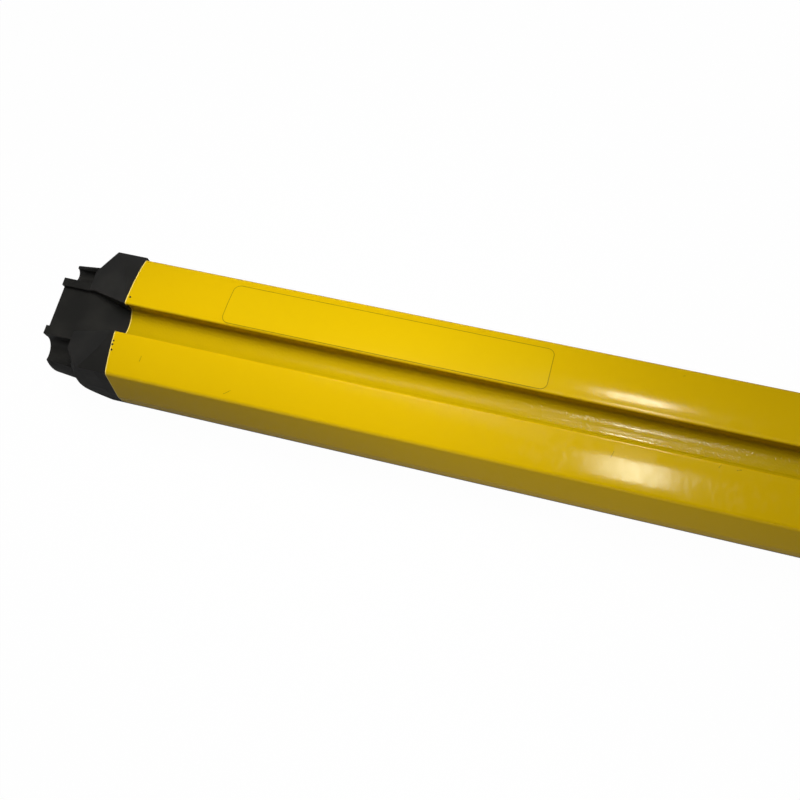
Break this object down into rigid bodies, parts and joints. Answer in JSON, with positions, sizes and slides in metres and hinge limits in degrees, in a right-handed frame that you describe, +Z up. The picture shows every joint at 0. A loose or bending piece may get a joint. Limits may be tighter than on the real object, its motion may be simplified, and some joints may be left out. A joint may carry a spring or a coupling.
{
  "type": "safety light curtain",
  "caption": "Painted metal bar with slotted sides, dark front screen, moulded end caps and a round cable plug; sends or receives safety light beams.",
  "frame": {"origin": "middle of the lowest level of the object's box, where the bar lies on its lower slotted side", "axes": "+X along the bar towards the plug end, +Y out of the front screen, +Z up through the slotted sides"},
  "size_m": [0.6588, 0.0564, 0.052],
  "materials": {
    "yellow_paint": "gloss",
    "black_moulding": "matt moulded",
    "dark_screen": "polished",
    "black_rubber": "matt",
    "dark_steel": "black zinc",
    "plated_brass": "nickel plated",
    "gold_pins": "gold plated",
    "green_board": "solder resist",
    "chip_black": "matt",
    "clear_lens": "polished",
    "grey_rail": "matt",
    "plate_film": "clear film over yellow",
    "display_body": "satin",
    "lamp_lens": "polished",
    "ribbon_grey": "satin"
  },
  "bodies": {
    "root": {"housing": "yellow_paint", "front_screen": "dark_screen", "screen_seal": "black_rubber", "type_plate": "plate_film", "end_cap_left": "black_moulding", "end_cap_right": "black_moulding", "cap_gasket_left": "black_rubber", "cap_gasket_right": "black_rubber", "cap_screws_left": "dark_steel", "cap_screws_right": "dark_steel", "optic_board_1": "green_board", "beam_diode_1": "clear_lens", "beam_holder_1": "chip_black", "beam_lens_1": "clear_lens", "optic_board_2": "green_board", "beam_diode_2": "clear_lens", "beam_holder_2": "chip_black", "beam_lens_2": "clear_lens", "board_rail": "grey_rail", "control_board": "green_board", "board_chips": "chip_black", "status_display": "display_body", "status_lights": "lamp_lens", "plug_shell": "plated_brass", "plug_insert": "chip_black", "plug_nut": "plated_brass", "plug_seal": "black_rubber", "plug_pins": "gold_pins", "pin_header": "chip_black", "plug_ribbon": "ribbon_grey"}
  },
  "joints": []
}
